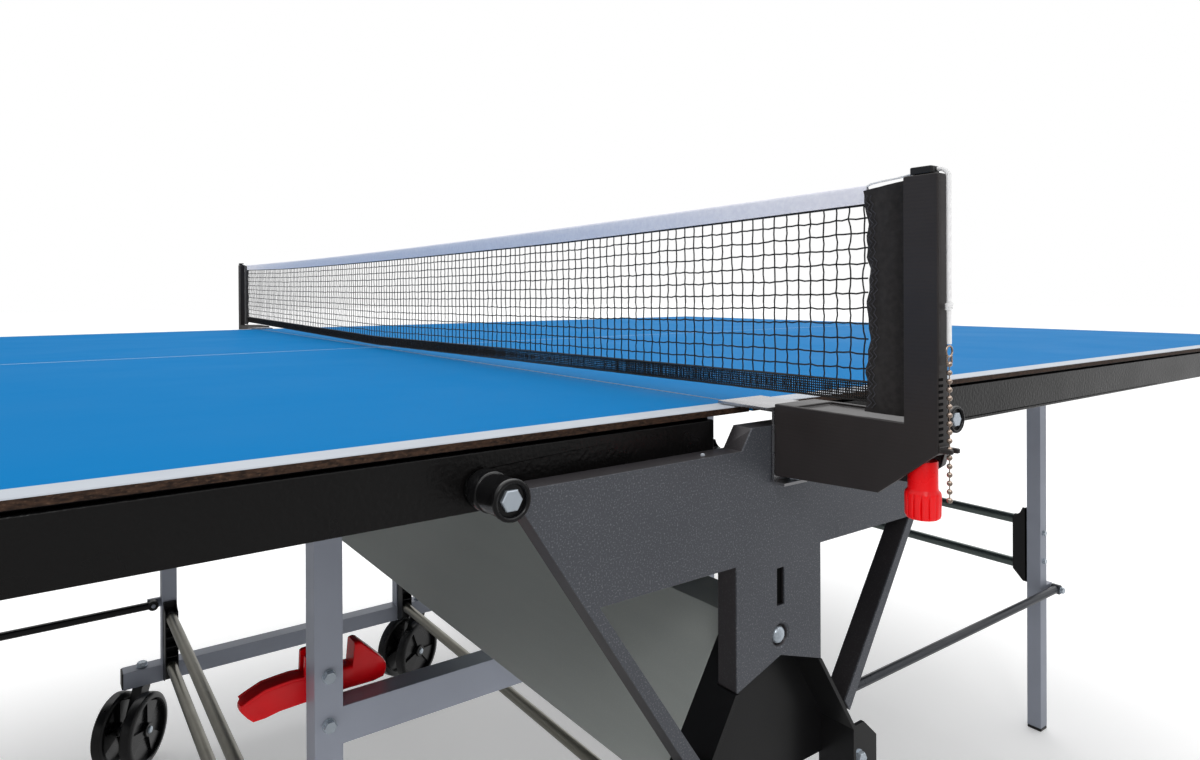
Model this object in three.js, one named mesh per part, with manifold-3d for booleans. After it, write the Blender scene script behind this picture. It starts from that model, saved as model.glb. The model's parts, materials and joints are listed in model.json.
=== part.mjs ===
// Folding ping pong table on a wheeled carriage, in millimetres, +Z up.
// Origin: on the floor, centred under the net. +X runs along the table's length, +Y across it.
// "left" is the -X half, "right" the +X half; "near" is the -Y side, "far" the +Y side.
// Each half turns about a hinge bar on the carriage. Its legs stay upright, because the board,
// the leg, the link rod and the carriage's upright make a parallelogram.
import * as THREE from "three";
import { mergeVertices } from "three/addons/utils/BufferGeometryUtils.js";
import Module from "manifold-3d";

const wasm = await Module();
wasm.setup();

// ---- driving dimensions ----------------------------------------------------------------
const GAP = 0.3; // between pieces that touch
const TOP_Z = 760; // playing surface
const BOARD = { halfLength: 1370, halfWidth: 762.5, inner: 2, thick: 5 };
const APRON = { top: 752, bottom: 717, face: 760, depth: 22, start: 36, endFace: 1368, sheet: 2.5, pack: 6 };
const HINGE = { x: 226, z: 731, bar: 10, barEnd: 761, sleeve: 12, sleeveStart: 762.8, sleeveEnd: 797 };
const LEG = { x: 1148, y: 445, size: 25, rise: 12, foot: 5, pivotBar: 8 };
const LINK = { offset: 28, z: 268, y: 468, radius: 7, eye: 9, pin: 3.5, lug: 8 };
const LEG_LADDER = { plate: [279, 422], tubes: [308, 394], bevel: 20 };
const CARRIAGE_LADDER = { plate: [130, 273], tubes: [161, 250], bevel: 13 };
const LADDER = { tube: 9, plateDepth: 27, plateHalf: 11, shoulder: 8 };
const UPRIGHT = { x: 228, y: 470, size: 25, top: 715, eye: 14 };
const RAIL = { half: 303, y: 472, size: 30, bottom: 128 };
const MID_RAIL = { bottom: 447, top: 480 };
const PLATE = { face: 790, depth: 18, sheet: 3, top: 734, barBottom: 655.5 };
const PLATE_POST = { half: 45, bottom: 568, peak: 583, slotHalf: 4, slot: [619, 646], seat: 9.4, seatZ: 597 };
const BACKING = { half: 13, bottom: 585, top: 652 }; // behind the slot and the seat of the side plate
const STRUT = { outerTop: [211, 715], outerFoot: [97, 543], innerTop: [162, 655], innerFoot: [82, 538] };
const STRUT_END = { outer: 518, inner: 527 };
const TOWER = { base: 39, crown: 29, height: 15 };
const BRACKET = { web: 757, sheet: 3, apex: 641, side: 88, shoulder: 502, bottom: 430, webBottom: 471 };
const EAR = { inner: 87, outer: 137, step: 120, top: 490, stepTop: 474, y: [772, 775] };
const GIRDER = { sheet: 2.5, topHalf: 21, top: 608, footHalf: 88, foot: 502, slotHalf: 76 };
const LEVER = { pivotZ: 510, bore: 4, thick: 20 };
const CASTOR = { x: 272, y: 472, radius: 62, width: 22, spread: 25, trail: 36, axle: 4, pin: 5 };
const CASTOR_TURN = { left: 37, right: 62 }; // degrees about the king pin
const FORK = { web: 9, crownHalf: 14, neckHalf: 12, crown: 10, tipHalf: 7, tipDrop: 12, headLift: 7 };
const CLIP = { x0: -17, x1: 30, inner: 745, top: 762.6, bottom: 708, sheet: 2, lip: 9 };
const ARM = { inner: 793.3, outer: 915, x0: -10, x1: 34, top: 765, sheet: 3, recess: 2, recessStart: 810 };
// Plan view of the arm's outer end: the cut runs from the post's corner to y on the +X side.
const ARM_CHAMFER = { x: 1, y: 894, reach: 40, wall: 3.6 };
// Heights of the arm's lower edge at its two ends, and the [y, z] of the bend between them.
const ARM_EDGE = { toe: 714, bend: [875, 719], heel: 750 };
const POST = { inner: 893, x1: 0, top: 913.5, tab: 750, tabHalf: 5, tabReach: 4 };
const CAP = { inner: 897, outer: 911.3, x1: -1, top: 918.2 };
const KNOB = { x: 2, y: 898, grip: 10.5, collar: 8.6, screw: 4, levels: [707, 724, 742, 758] };
const NET = { end: 862, thick: 3, top: 912.5, sag: 5, endBottom: 774, midBottom: 764.5 };
const NET_SLEEVE = { end: 890, thick: 6, bottom: 767 };
const CORD = { x: -4, y: 918.2, radius: 1.4, bend: 5.6, start: 916.2, end: 813.6 };
const CHAIN = { radius: 1.65, bottom: 721, ring: 3.2, wire: 0.7 };

// ---- materials -------------------------------------------------------------------------
const paint = (color, roughness, metalness) =>
  new THREE.MeshStandardMaterial({ color, roughness, metalness });
const BLUE = paint(0x0f6fb5, 0.5, 0);
const BLACK_COAT = paint(0x16171a, 0.45, 0.2);
const DARK_GREY = paint(0x53575e, 0.5, 0.5);
const SILVER_GREY = paint(0x7c838d, 0.45, 0.5);
const GALVANISED = paint(0x8b8f88, 0.5, 0.8);
const ZINC = paint(0xb9bdc0, 0.3, 0.9);
const BLACK_PLASTIC = paint(0x17181a, 0.5, 0);
const RED_PLASTIC = paint(0xc80a16, 0.4, 0);
const NET_BLACK = paint(0x111214, 0.8, 0);
const CORD_WHITE = paint(0xe6e6e4, 0.8, 0);

// ---- geometry helpers ------------------------------------------------------------------
const solid = (geometry) => {
  const g = geometry.clone();
  g.deleteAttribute("normal");
  g.deleteAttribute("uv");
  const m = mergeVertices(g, 1e-4);
  return new wasm.Manifold(
    new wasm.Mesh({
      numProp: 3,
      vertProperties: new Float32Array(m.attributes.position.array),
      triVerts: new Uint32Array(m.index.array),
    }),
  );
};
const surface = (manifold) => {
  const m = manifold.getMesh();
  const g = new THREE.BufferGeometry();
  g.setAttribute("position", new THREE.BufferAttribute(new Float32Array(m.vertProperties), 3));
  g.setIndex(new THREE.BufferAttribute(new Uint32Array(m.triVerts), 1));
  g.computeVertexNormals();
  return g;
};
const join = (...pieces) => pieces.reduce((a, b) => a.add(b));
const cut = (body, ...tools) => tools.reduce((a, b) => a.subtract(b), body);

// A box between two corners, given as x, y and z pairs in any order.
const box = ([xa, xb], [ya, yb], [za, zb]) =>
  solid(
    new THREE.BoxGeometry(Math.abs(xb - xa), Math.abs(yb - ya), Math.abs(zb - za)).translate(
      (xa + xb) / 2,
      (ya + yb) / 2,
      (za + zb) / 2,
    ),
  );
// A rod along "x", "y" or "z", from a to b on that axis, with its other two coordinates in at.
const rod = (axis, radius, a, b, at, sides = 16) => {
  const g = new THREE.CylinderGeometry(radius, radius, Math.abs(b - a), sides);
  const mid = (a + b) / 2;
  if (axis === "x") return solid(g.rotateZ(Math.PI / 2).translate(mid, at[0], at[1]));
  if (axis === "y") return solid(g.translate(at[0], mid, at[1]));
  return solid(g.rotateX(Math.PI / 2).translate(at[0], at[1], mid));
};
const outline = (points) => new THREE.Shape(points.map(([u, v]) => new THREE.Vector2(u, v)));
// An outline in X and Z, given its thickness between two Y values.
const sheetXZ = (points, [ya, yb]) =>
  solid(
    new THREE.ExtrudeGeometry(outline(points), { depth: Math.abs(yb - ya), bevelEnabled: false })
      .rotateX(Math.PI / 2)
      .translate(0, Math.max(ya, yb), 0),
  );
// An outline in Y and Z, extruded between two X values.
const sheetYZ = (points, [xa, xb]) => {
  const turn = new THREE.Matrix4().makeBasis(
    new THREE.Vector3(0, 1, 0),
    new THREE.Vector3(0, 0, 1),
    new THREE.Vector3(1, 0, 0),
  );
  const g = new THREE.ExtrudeGeometry(outline(points), { depth: Math.abs(xb - xa), bevelEnabled: false });
  return solid(g.applyMatrix4(turn).translate(Math.min(xa, xb), 0, 0));
};
// A convex outline moved inwards by t on every side.
const inset = (points, t) => {
  const area = points.reduce((s, [x, y], i) => {
    const [u, v] = points[(i + 1) % points.length];
    return s + x * v - u * y;
  }, 0);
  const side = Math.sign(area);
  const lines = points.map(([x, y], i) => {
    const [u, v] = points[(i + 1) % points.length];
    const length = Math.hypot(u - x, v - y);
    const n = [(-(v - y) / length) * side, ((u - x) / length) * side];
    return { n, c: n[0] * x + n[1] * y + t };
  });
  return lines.map((a, i) => {
    const b = lines[(i + lines.length - 1) % lines.length];
    const d = a.n[0] * b.n[1] - a.n[1] * b.n[0];
    return [(a.c * b.n[1] - a.n[1] * b.c) / d, (a.n[0] * b.c - a.c * b.n[0]) / d];
  });
};

const table = new THREE.Group();
const add = (name, body, material) => {
  const mesh = new THREE.Mesh(surface(body), material);
  mesh.name = name;
  table.add(mesh);
  return mesh;
};

const SIDES = [
  ["left", -1],
  ["right", 1],
];
const EDGES = [
  ["near", -1],
  ["far", 1],
];

// ---- one half of the table: board, apron and leg pivot ---------------------------------
const board = (sx) =>
  box(
    [sx * BOARD.inner, sx * BOARD.halfLength],
    [-BOARD.halfWidth, BOARD.halfWidth],
    [TOP_Z - BOARD.thick, TOP_Z],
  );

// Channel section of the apron: u runs inwards from the outer face, v is height. The narrower
// strip on its top flange carries the board and leaves a dark joint along the edge.
const apronSection = () => {
  const { top, bottom, depth, sheet, pack } = APRON;
  const packTop = TOP_Z - BOARD.thick - GAP;
  return [
    [0, bottom],
    [depth, bottom],
    [depth, bottom + sheet],
    [sheet, bottom + sheet],
    [sheet, top - sheet],
    [depth, top - sheet],
    [depth, packTop],
    [pack, packTop],
    [pack, top],
    [0, top],
  ];
};
const sideApron = (sx, sy) => {
  const section = apronSection().map(([u, v]) => [sy * (APRON.face - u), v]);
  const end = APRON.endFace - APRON.depth - GAP;
  const across = [sy * (APRON.face - APRON.depth - 1), sy * (APRON.face + 1)];
  const bore = rod("y", HINGE.bar + GAP, ...across, [sx * HINGE.x, HINGE.z], 24);
  return cut(sheetYZ(section, [sx * APRON.start, sx * end]), bore);
};
const endApron = (sx) => {
  const section = apronSection().map(([u, v]) => [sx * (APRON.endFace - u), v]);
  return sheetXZ(section, [-APRON.face, APRON.face]);
};
// Bar that the legs turn on, held between the webs of the two side aprons.
const legPivotBar = (sx) => {
  const end = APRON.face - APRON.sheet - GAP;
  return rod("y", LEG.pivotBar, -end, end, [sx * LEG.x, HINGE.z], 20);
};

for (const [side, sx] of SIDES) {
  add(`tabletop_${side}`, board(sx), BLUE);
  for (const [edge, sy] of EDGES) add(`side_apron_${edge}_${side}`, sideApron(sx, sy), BLACK_COAT);
  add(`end_apron_${side}`, endApron(sx), BLACK_COAT);
  add(`leg_pivot_bar_${side}`, legPivotBar(sx), ZINC);
}

// ---- folding leg frames ----------------------------------------------------------------
// A square tube with a bore for the pivot bar, and a lug with the pin of the link rod.
const leg = (sx, sy) => {
  const half = LEG.size / 2;
  const inner = sy * (LEG.y - half);
  const outer = sy * (LEG.y + half);
  const across = [sx * (LEG.x - half), sx * (LEG.x + half)];
  const tube = box(across, [inner, outer], [LEG.foot + GAP, HINGE.z + LEG.rise]);
  const bore = rod("y", LEG.pivotBar + GAP, inner - sy, outer + sy, [sx * LEG.x, HINGE.z], 20);
  const pinX = LEG.x + LINK.offset;
  const lugX = [sx * (LEG.x + half - 1), sx * (pinX + LINK.lug)];
  const lug = box(lugX, [sy * (LEG.y + 2), outer], [LINK.z - LINK.lug, LINK.z + LINK.lug]);
  const pinEnd = sy * (LINK.y + LINK.radius + 2);
  const pin = rod("y", LINK.pin, outer - sy * 5, pinEnd, [sx * pinX, LINK.z]);
  return cut(join(tube, lug, pin), bore);
};
const legFoot = (sx, sy) => {
  const half = LEG.size / 2;
  const span = (centre, sign) => [sign * (centre - half), sign * (centre + half)];
  return box(span(LEG.x, sx), span(LEG.y, sy), [0, LEG.foot]);
};

// Two round cross tubes with a moulded end plate at each side, between faces at +-inner.
const ladder = (x, inner, { plate, tubes, bevel }) => {
  const { tube, plateDepth, plateHalf, shoulder } = LADDER;
  const [low, high] = plate;
  const face = inner - GAP;
  const reach = face - plateDepth;
  const plates = EDGES.map(([, sy]) => {
    const points = [
      [sy * face, low],
      [sy * face, high],
      [sy * (face - shoulder), high],
      [sy * reach, high - bevel],
      [sy * reach, low + bevel],
      [sy * (face - shoulder), low],
    ];
    return sheetYZ(points, [x - plateHalf, x + plateHalf]);
  });
  const bars = tubes.map((z) => rod("y", tube, -reach - 4, reach + 4, [x, z], 16));
  return join(...plates, ...bars);
};

// Link rod from the carriage to the leg, parallel to the board.
const linkRod = (sx, sy) => {
  const ends = [HINGE.x + LINK.offset, LEG.x + LINK.offset];
  const across = (reach) => [sy * (LINK.y - reach), sy * (LINK.y + reach)];
  const bar = rod("x", LINK.radius, sx * ends[0], sx * ends[1], [sy * LINK.y, LINK.z], 12);
  const eyes = ends.map((x) => rod("y", LINK.eye, ...across(LINK.radius), [sx * x, LINK.z], 16));
  const bores = ends.map((x) => rod("y", LINK.pin + GAP, ...across(LINK.radius + 1), [sx * x, LINK.z], 16));
  return cut(join(bar, ...eyes), ...bores);
};

for (const [side, sx] of SIDES) {
  for (const [edge, sy] of EDGES) {
    add(`leg_${edge}_${side}`, leg(sx, sy), SILVER_GREY);
    add(`leg_foot_${edge}_${side}`, legFoot(sx, sy), BLACK_PLASTIC);
    add(`link_rod_${edge}_${side}`, linkRod(sx, sy), BLACK_COAT);
  }
  add(`leg_cross_frame_${side}`, ladder(sx * LEG.x, LEG.y - LEG.size / 2, LEG_LADDER), ZINC);
}

// ---- carriage --------------------------------------------------------------------------
const hingeBar = (sx) => rod("y", HINGE.bar, -HINGE.barEnd, HINGE.barEnd, [sx * HINGE.x, HINGE.z], 24);
// Plastic sleeve on the end of the hinge bar.
const hingeSleeve = (sx, sy) =>
  rod("y", HINGE.sleeve, sy * HINGE.sleeveStart, sy * HINGE.sleeveEnd, [sx * HINGE.x, HINGE.z], 24);

// Pressed side plate: a bar between the hinges, a centre post and two struts, all with edges
// turned inwards, and a stop block on top between the two halves.
const along = ([xa, za], [xb, zb], z) => xa + ((z - za) * (xb - xa)) / (zb - za);
const strutOuter = (z) => along(STRUT.outerTop, STRUT.outerFoot, z);
const strutInner = (z) => along(STRUT.innerTop, STRUT.innerFoot, z);
const sidePlate = (sy) => {
  const { face, depth, sheet, top, barBottom } = PLATE;
  const { half: post, bottom: postBottom, peak } = PLATE_POST;
  const hidden = barBottom + 30; // struts, post and tower start inside the bar
  const shapes = [
    [
      [-strutOuter(top), top],
      [strutOuter(top), top],
      [strutOuter(barBottom), barBottom],
      [-strutOuter(barBottom), barBottom],
    ],
    [
      [-post, postBottom],
      [post, postBottom],
      [post, hidden],
      [-post, hidden],
    ],
    [
      [-TOWER.base, top - 12],
      [TOWER.base, top - 12],
      [TOWER.base, top],
      [TOWER.crown, top + TOWER.height],
      [-TOWER.crown, top + TOWER.height],
      [-TOWER.base, top],
    ],
    ...SIDES.map(([, sx]) => [
      [sx * strutOuter(hidden), hidden],
      [sx * strutOuter(STRUT_END.outer), STRUT_END.outer],
      [sx * strutInner(STRUT_END.inner), STRUT_END.inner],
      [sx * strutInner(hidden), hidden],
    ]),
  ];
  const outer = shapes.map((s) => sheetXZ(s, [sy * face, sy * (face - depth)]));
  const inner = shapes.map((s) => sheetXZ(inset(s, sheet), [sy * (face - sheet), sy * (face - depth - 1)]));
  const through = [sy * (face + 1), sy * (face - depth - 1)];
  const arch = [
    [-post - 1, postBottom - 1],
    [post + 1, postBottom - 1],
    [post + 1, postBottom],
    [0, peak],
    [-post - 1, postBottom],
  ];
  const seats = SIDES.map(([, sx]) => rod("y", HINGE.sleeve + GAP, ...through, [sx * HINGE.x, HINGE.z], 24));
  const { slotHalf, slot, seat, seatZ } = PLATE_POST;
  const backing = box(
    [-BACKING.half, BACKING.half],
    [sy * (face - 2 * sheet), sy * (face - sheet / 2)],
    [BACKING.bottom, BACKING.top],
  );
  const blind = [sy * (face + 1), sy * (face - sheet)];
  const pockets = [box([-slotHalf, slotHalf], blind, slot), rod("y", seat, ...blind, [0, seatZ], 20)];
  const shell = cut(join(...outer), join(...inner), sheetXZ(arch, through), ...seats);
  return cut(join(shell, backing), ...pockets);
};

// Lower bracket: a gabled channel open to the outside, with an ear at each side.
const lowerBracket = (sy) => {
  const { web, sheet, apex, side, shoulder, bottom, webBottom } = BRACKET;
  const house = [
    [-side, bottom],
    [side, bottom],
    [side, shoulder],
    [0, apex],
    [-side, shoulder],
  ];
  const hollow = inset(house, sheet).map(([x, z]) => [x, z < shoulder - 20 ? bottom - 1 : z]);
  const plateBack = PLATE.face - PLATE.depth - GAP;
  const outside = sy * (PLATE.face + 1);
  const shell = cut(
    sheetXZ(house, [sy * web, sy * PLATE.face]),
    sheetXZ(hollow, [sy * (web + sheet), outside]),
    box([-side, side], [sy * plateBack, outside], [PLATE_POST.bottom - GAP, apex + 1]),
    box([sheet - side, side - sheet], [sy * (web - 1), outside], [bottom - 1, webBottom]),
  );
  const ears = SIDES.map(([, sx]) => {
    const points = [
      [sx * EAR.inner, bottom],
      [sx * EAR.inner, EAR.top],
      [sx * EAR.step, EAR.top],
      [sx * EAR.outer, EAR.stepTop],
      [sx * EAR.outer, bottom],
    ];
    return sheetXZ(
      points,
      EAR.y.map((y) => sy * y),
    );
  });
  return join(shell, ...ears);
};

// Cross girder: folded galvanised sheet with a flat top, sloping sides and a lip along each
// lower edge. It runs over the mid rails, from bracket to bracket.
const girder = () => {
  const { sheet, topHalf, top, footHalf, foot, slotHalf } = GIRDER;
  const reach = BRACKET.web - GAP;
  const section = [
    [-footHalf, foot],
    [footHalf, foot],
    [topHalf, top],
    [-topHalf, top],
  ];
  const hollow = sheetXZ(inset(section, sheet), [-reach - 1, reach + 1]);
  const slot = box([-slotHalf, slotHalf], [-reach - 1, reach + 1], [foot - 1, foot + 2 * sheet]);
  return cut(sheetXZ(section, [-reach, reach]), hollow, slot);
};

// Side frame: two uprights on a bottom rail, a mid rail, an eye for the hinge bar on top of each
// upright, and the pins of the link rods.
const sideFrame = (sy) => {
  const half = UPRIGHT.size / 2;
  const across = [sy * (UPRIGHT.y - half), sy * (UPRIGHT.y + half)];
  const railTop = RAIL.bottom + RAIL.size;
  const railHalf = RAIL.size / 2;
  const railAcross = [sy * (RAIL.y - railHalf), sy * (RAIL.y + railHalf)];
  const rail = box([-RAIL.half, RAIL.half], railAcross, [RAIL.bottom, railTop]);
  const mid = box([-UPRIGHT.x, UPRIGHT.x], across, [MID_RAIL.bottom, MID_RAIL.top]);
  const pinX = HINGE.x + LINK.offset;
  const uprights = SIDES.flatMap(([, sx]) => [
    box([sx * (UPRIGHT.x - half), sx * (UPRIGHT.x + half)], across, [railTop - 2, UPRIGHT.top]),
    box(
      [sx * (UPRIGHT.x + half - 1), sx * (pinX + LINK.lug)],
      [sy * (LINK.y + LINK.radius + GAP), across[1]],
      [LINK.z - LINK.lug, LINK.z + LINK.lug],
    ),
    rod("y", LINK.pin, sy * (LINK.y - LINK.radius - 2), across[1] - sy, [sx * pinX, LINK.z]),
    box(
      [sx * (HINGE.x - UPRIGHT.eye), sx * (HINGE.x + UPRIGHT.eye)],
      [across[0] + sy * 2, across[1] - sy * 2],
      [UPRIGHT.top - 20, HINGE.z + UPRIGHT.eye],
    ),
  ]);
  const cuts = SIDES.flatMap(([, sx]) => [
    rod("z", CASTOR.pin + GAP, RAIL.bottom - 1, railTop + 1, [sx * CASTOR.x, sy * CASTOR.y]),
    rod("y", HINGE.bar + GAP, across[0] - sy, across[1] + sy, [sx * HINGE.x, HINGE.z], 24),
  ]);
  return cut(join(rail, mid, ...uprights), ...cuts);
};

for (const [side, sx] of SIDES) {
  add(`hinge_bar_${side}`, hingeBar(sx), BLACK_COAT);
  for (const [edge, sy] of EDGES) add(`hinge_sleeve_${edge}_${side}`, hingeSleeve(sx, sy), BLACK_PLASTIC);
  const between = RAIL.y - RAIL.size / 2;
  add(`carriage_cross_frame_${side}`, ladder(sx * UPRIGHT.x, between, CARRIAGE_LADDER), ZINC);
}
for (const [edge, sy] of EDGES) {
  add(`side_plate_${edge}`, sidePlate(sy), DARK_GREY);
  add(`lower_bracket_${edge}`, lowerBracket(sy), BLACK_COAT);
  add(`side_frame_${edge}`, sideFrame(sy), SILVER_GREY);
}
add("cross_girder", girder(), GALVANISED);

// Storage lock of one half: a lever on the inner side of an upright, with a pull at its outer
// end, an upstand over the pivot and a hook at its inner end. Points are about the pivot.
const LEVER_OUTLINE = [
  [67, -18.5],
  [62, -15.6],
  [48, -9.4],
  [22.6, -7],
  [14, -9],
  [13, 11],
  [-10, 12],
  [-14, -8],
  [-28, -9],
  [-31.7, 12],
  [-37.8, 11.6],
  [-61, -11],
  [-62.7, -22],
  [-56, -30],
  [-25, -29.5],
  [8.6, -31],
  [34.7, -32],
  [46.6, -34.5],
  [56.5, -35],
  [64.6, -26],
];
const lockLever = (sx, sy) => {
  const points = LEVER_OUTLINE.map(([x, z]) => [sx * (UPRIGHT.x + x), LEVER.pivotZ + z]);
  const face = UPRIGHT.y - UPRIGHT.size / 2 - GAP;
  const back = face - LEVER.thick;
  const bore = rod("y", LEVER.bore, sy * (face + 1), sy * (back - 1), [sx * UPRIGHT.x, LEVER.pivotZ]);
  return cut(sheetXZ(points, [sy * face, sy * back]), bore);
};
add("lock_lever_left", lockLever(-1, -1), RED_PLASTIC);
add("lock_lever_right", lockLever(1, 1), RED_PLASTIC);

// ---- twin-wheel castors ----------------------------------------------------------------
// The fork is a web between the wheels, with its king pin through the rail. The whole castor
// is turned about the pin and trails behind it.
const placeCastor = (body, side, sx, sy) =>
  solid(
    surface(body)
      .rotateZ(-THREE.MathUtils.degToRad(CASTOR_TURN[side]))
      .translate(sx * CASTOR.x, sy * CASTOR.y, 0),
  );
const castorFork = () => {
  const { radius, trail, axle, pin } = CASTOR;
  const crown = RAIL.bottom - GAP;
  const neck = crown - FORK.crown;
  const tip = radius - FORK.tipDrop;
  const web = sheetYZ(
    [
      [-FORK.crownHalf, crown],
      [FORK.crownHalf, crown],
      [FORK.neckHalf, neck],
      [FORK.neckHalf - trail, radius],
      [FORK.tipHalf - trail, tip],
      [-FORK.tipHalf - trail, tip],
      [-FORK.neckHalf - trail, radius],
    ],
    [-FORK.web, FORK.web],
  );
  const bore = rod("x", axle + GAP, -FORK.web - 1, FORK.web + 1, [-trail, radius]);
  const railTop = RAIL.bottom + RAIL.size;
  const kingPin = rod("z", pin, neck, railTop + FORK.headLift / 2, [0, 0]);
  const head = rod("z", pin + 3, railTop + GAP, railTop + FORK.headLift, [0, 0], 6);
  return join(cut(web, bore), kingPin, head);
};
const castorWheels = () => {
  const { radius, width, spread, trail, axle } = CASTOR;
  const rim = width / 2;
  const profile = [
    [0, -rim],
    [radius - 3, -rim],
    [radius, -rim + 3],
    [radius, rim - 3],
    [radius - 3, rim],
    [0, rim],
  ].map(([r, h]) => new THREE.Vector2(r, h));
  const wheels = [-spread, spread].map((x) =>
    solid(new THREE.LatheGeometry(profile, 28).rotateZ(Math.PI / 2).translate(x, -trail, radius)),
  );
  return join(...wheels, rod("x", axle, -spread, spread, [-trail, radius]));
};
for (const [side, sx] of SIDES)
  for (const [edge, sy] of EDGES) {
    add(`castor_fork_${edge}_${side}`, placeCastor(castorFork(), side, sx, sy), BLACK_PLASTIC);
    add(`castor_wheels_${edge}_${side}`, placeCastor(castorWheels(), side, sx, sy), BLACK_PLASTIC);
  }

// ---- net set ---------------------------------------------------------------------------
// Steel clip: lies over the board's edge, turns down in front of the plate and ends in a lip.
const netClip = (sy) => {
  const { x0, x1, inner, top, bottom, sheet, lip } = CLIP;
  const back = PLATE.face + GAP + 0.7;
  const outer = ARM.inner - GAP;
  const flange = box([x0, x1], [sy * inner, sy * outer], [top - sheet, top]);
  const plate = box([ARM.x0, x1], [sy * back, sy * outer], [bottom, top]);
  const toe = box([ARM.x0, x1 - sheet], [sy * back, sy * (outer + lip)], [bottom, bottom + sheet]);
  return join(flange, plate, toe);
};
// Net bracket: an arm, open below and cut away at its lower outer corner, with a shallow recess
// in its top, and the post that stands on its end. The tab at the corner holds the bead chain.
const netBracket = (sy) => {
  const { inner, outer, x0, x1, top, sheet, recess, recessStart } = ARM;
  const { toe, bend, heel } = ARM_EDGE;
  const lowerEdge = (y) => {
    const [[ya, za], [yb, zb]] = y < bend[0] ? [[inner, toe], bend] : [bend, [outer, heel]];
    return za + ((y - ya) * (zb - za)) / (yb - ya);
  };
  // The arm's side view, moved in by t from its ends, with its top at roof and lowered by drop.
  const side = (t, roof, drop) => [
    [sy * (inner + t), lowerEdge(inner + t) - drop],
    [sy * bend[0], bend[1] - drop],
    [sy * (outer - t), lowerEdge(outer - t) - drop],
    [sy * (outer - t), roof],
    [sy * (inner + t), roof],
  ];
  const arm = sheetYZ(side(0, top, 0), [x0, x1]);
  // What lies beyond the chamfer, with the chamfer moved in by shift.
  const beyond = (shift) => {
    const slope = (outer + 1 - ARM_CHAMFER.y) / (x1 + 1 - ARM_CHAMFER.x);
    const high = outer + 1 + slope * ARM_CHAMFER.reach;
    const plan = [
      [ARM_CHAMFER.x - ARM_CHAMFER.reach, sy * (high - shift)],
      [x1 + 1, sy * (high - shift)],
      [x1 + 1, sy * (ARM_CHAMFER.y - shift)],
    ];
    const tall = { depth: top - toe + 42, bevelEnabled: false };
    return solid(new THREE.ExtrudeGeometry(outline(plan), tall).translate(0, 0, toe - 41));
  };
  const roof = top - sheet - recess;
  const hollow = cut(sheetYZ(side(sheet, roof, 20), [x0 + sheet, x1 - sheet]), beyond(ARM_CHAMFER.wall));
  const pocket = box([x0 + sheet, x1 - sheet], [sy * recessStart, sy * POST.inner], [top - recess, top + 1]);
  const post = box([x0, POST.x1], [sy * POST.inner, sy * outer], [top - sheet, POST.top]);
  const tabX = [CORD.x - POST.tabHalf, CORD.x + POST.tabHalf];
  const tabEnd = CORD.y + POST.tabReach;
  const tab = box(tabX, [sy * (outer - 1), sy * tabEnd], [POST.tab, POST.tab + sheet]);
  const slotHalf = CHAIN.radius + GAP;
  const slot = box(
    [CORD.x - slotHalf, CORD.x + slotHalf],
    [sy * (CORD.y - slotHalf), sy * (tabEnd + 1)],
    [POST.tab - 1, POST.tab + sheet + 1],
  );
  return join(cut(arm, hollow, pocket, beyond(0)), post, cut(tab, slot));
};
const postCap = (sy) =>
  box([ARM.x0, CAP.x1], [sy * CAP.inner, sy * CAP.outer], [POST.top + GAP, CAP.top]);
// Screw knob under the arm's outer end: grip, collar and screw.
const netKnob = (sy) => {
  const at = [KNOB.x, sy * KNOB.y];
  const [low, mid, high, tip] = KNOB.levels;
  return join(
    rod("z", KNOB.grip, low, mid, at, 24),
    rod("z", KNOB.collar, mid - 1, high, at, 24),
    rod("z", KNOB.screw, high - 1, tip, at, 12),
  );
};
// The net with its end sleeves, as one sheet that hangs lowest in the middle.
const net = () => {
  const { end, thick, top, sag, endBottom, midBottom } = NET;
  const half = NET_SLEEVE.thick / 2;
  const cloth = sheetYZ(
    [
      [-end - 1, endBottom],
      [0, midBottom],
      [end + 1, endBottom],
      [end + 1, top],
      [0, top - sag],
      [-end - 1, top],
    ],
    [-thick / 2, thick / 2],
  );
  const sleeves = EDGES.map(([, sy]) =>
    box([-half, half], [sy * end, sy * NET_SLEEVE.end], [NET_SLEEVE.bottom, top]),
  );
  return join(cloth, ...sleeves);
};
for (const [edge, sy] of EDGES) {
  add(`net_clip_${edge}`, netClip(sy), ZINC);
  add(`net_bracket_${edge}`, netBracket(sy), BLACK_PLASTIC);
  add(`post_cap_${edge}`, postCap(sy), BLACK_PLASTIC);
  add(`net_knob_${edge}`, netKnob(sy), RED_PLASTIC);
}
add("net", net(), NET_BLACK);

// Tensioning cord of the net: out of the near post's cap, over the edge and down its face.
const cordPath = () => {
  const { x, y, bend, start, end } = CORD;
  const centreY = y - bend;
  const centreZ = start - bend;
  const turn = Array.from({ length: 7 }, (_, i) => {
    const angle = (i / 6) * (Math.PI / 2);
    return [centreY + bend * Math.sin(angle), centreZ + bend * Math.cos(angle)];
  });
  const drop = Array.from({ length: 8 }, (_, i) => [y, centreZ + ((end - centreZ) * (i + 1)) / 8]);
  const mouth = [CAP.outer + GAP, start];
  return [mouth, ...turn, ...drop].map(([v, w]) => new THREE.Vector3(x, -v, w));
};
const netCord = () => {
  const curve = new THREE.CatmullRomCurve3(cordPath(), false, "centripetal");
  const section = Array.from({ length: 8 }, (_, i) => {
    const angle = (i / 8) * 2 * Math.PI;
    return [CORD.radius * Math.cos(angle), CORD.radius * Math.sin(angle)];
  });
  const sweep = { steps: 56, extrudePath: curve, bevelEnabled: false };
  return solid(new THREE.ExtrudeGeometry(outline(section), sweep));
};
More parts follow.
